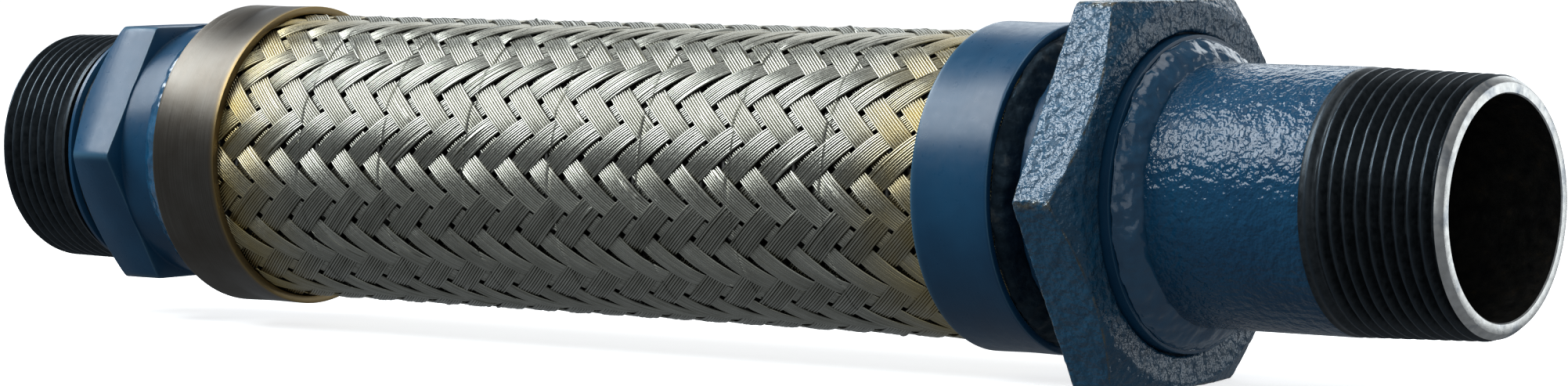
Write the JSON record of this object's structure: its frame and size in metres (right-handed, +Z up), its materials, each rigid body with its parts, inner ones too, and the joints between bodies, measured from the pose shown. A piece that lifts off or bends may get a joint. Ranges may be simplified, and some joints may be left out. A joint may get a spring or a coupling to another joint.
{
  "type": "braided flexible pipe connector",
  "caption": "Short braided metal hose joining a hex male pipe nipple to a union nut with a male pipe nipple.",
  "frame": {"origin": "centre of the inlet end face, on the centre line", "axes": "+X along the centre line from the inlet thread to the outlet thread, +Z up with hex flats at the top and the bottom"},
  "size_m": [0.3048, 0.0716, 0.062],
  "materials": {
    "blue_paint": "satin blue paint over turned steel",
    "pipe_paint": "satin blue paint with a slight orange peel, bare dark thread",
    "cast_paint": "gloss blue paint over rough cast iron, worn at the edges",
    "weld_paint": "gloss blue paint over a weld bead",
    "bare_weld": "dark bare weld",
    "collar_steel": "brushed stainless steel, browned by heat",
    "braid_wire": "drawn stainless wire",
    "bellows_steel": "thin formed stainless strip",
    "gasket_fibre": "matte compressed fibre"
  },
  "bodies": {
    "inlet_end": {"inlet_nipple": "blue_paint", "inlet_weld": "weld_paint", "inlet_collar": "collar_steel", "braid_inlet": "braid_wire", "bellows_inlet": "bellows_steel"},
    "hose_1": {"braid_1": "braid_wire", "bellows_1": "bellows_steel"},
    "hose_2": {"braid_2": "braid_wire", "bellows_2": "bellows_steel"},
    "hose_3": {"braid_3": "braid_wire", "bellows_3": "bellows_steel"},
    "hose_4": {"braid_4": "braid_wire", "bellows_4": "bellows_steel"},
    "hose_5": {"braid_5": "braid_wire", "bellows_5": "bellows_steel"},
    "hose_6": {"braid_6": "braid_wire", "bellows_6": "bellows_steel"},
    "hose_7": {"braid_7": "braid_wire", "bellows_7": "bellows_steel"},
    "outlet_end": {"outlet_collar": "blue_paint", "outlet_weld": "bare_weld", "union_body": "blue_paint", "braid_outlet": "braid_wire", "bellows_outlet": "bellows_steel"},
    "gasket": {"union_gasket": "gasket_fibre"},
    "tail": {"union_tail": "blue_paint", "tail_weld": "weld_paint", "outlet_nipple": "pipe_paint"},
    "nut": {"union_nut": "cast_paint"}
  },
  "joints": [
    {"name": "inlet_lift", "type": "hinge", "parent": "inlet_end", "child": "hose_1", "pos_m": [0.06951, 0, 0], "axis": [0, -1, 0], "range_deg": [-9, 9], "stiffness_Nm_per_rad": 40},
    {"name": "inlet_sway", "type": "hinge", "parent": "hose_1", "child": "hose_2", "pos_m": [0.08854, 0, 0], "axis": [0, 0, 1], "range_deg": [-9, 9], "stiffness_Nm_per_rad": 40},
    {"name": "inlet_lift_2", "type": "hinge", "parent": "hose_2", "child": "hose_3", "pos_m": [0.10756, 0, 0], "axis": [0, -1, 0], "range_deg": [-9, 9], "stiffness_Nm_per_rad": 40},
    {"name": "inlet_sway_2", "type": "hinge", "parent": "hose_3", "child": "hose_4", "pos_m": [0.12659, 0, 0], "axis": [0, 0, 1], "range_deg": [-9, 9], "stiffness_Nm_per_rad": 40},
    {"name": "outlet_lift", "type": "hinge", "parent": "hose_4", "child": "hose_5", "pos_m": [0.14561, 0, 0], "axis": [0, -1, 0], "range_deg": [-9, 9], "stiffness_Nm_per_rad": 40},
    {"name": "outlet_sway", "type": "hinge", "parent": "hose_5", "child": "hose_6", "pos_m": [0.16464, 0, 0], "axis": [0, 0, 1], "range_deg": [-9, 9], "stiffness_Nm_per_rad": 40},
    {"name": "outlet_lift_2", "type": "hinge", "parent": "hose_6", "child": "hose_7", "pos_m": [0.18366, 0, 0], "axis": [0, -1, 0], "range_deg": [-9, 9], "stiffness_Nm_per_rad": 40},
    {"name": "outlet_sway_2", "type": "hinge", "parent": "hose_7", "child": "outlet_end", "pos_m": [0.20269, 0, 0], "axis": [0, 0, 1], "range_deg": [-9, 9], "stiffness_Nm_per_rad": 40},
    {"name": "union_draw", "type": "slide", "parent": "outlet_end", "child": "gasket", "axis": [1, 0, 0], "range_m": [0, 0.00462]},
    {"name": "nipple_swivel", "type": "hinge", "parent": "gasket", "child": "tail", "pos_m": [0.2434, 0, 0], "axis": [1, 0, 0], "continuous": true},
    {"name": "nut_turn", "type": "hinge", "parent": "gasket", "child": "nut", "pos_m": [0.2426, 0, 0], "axis": [1, 0, 0], "range_deg": [0, 720]}
  ],
  "couplings": [
    {"joint": "inlet_lift_2", "follows": "inlet_lift", "ratio": 1},
    {"joint": "inlet_sway_2", "follows": "inlet_sway", "ratio": 1},
    {"joint": "outlet_lift_2", "follows": "outlet_lift", "ratio": 1},
    {"joint": "outlet_sway_2", "follows": "outlet_sway", "ratio": 1},
    {"joint": "nut_turn", "follows": "union_draw", "rad_per_m": 2721.2}
  ]
}
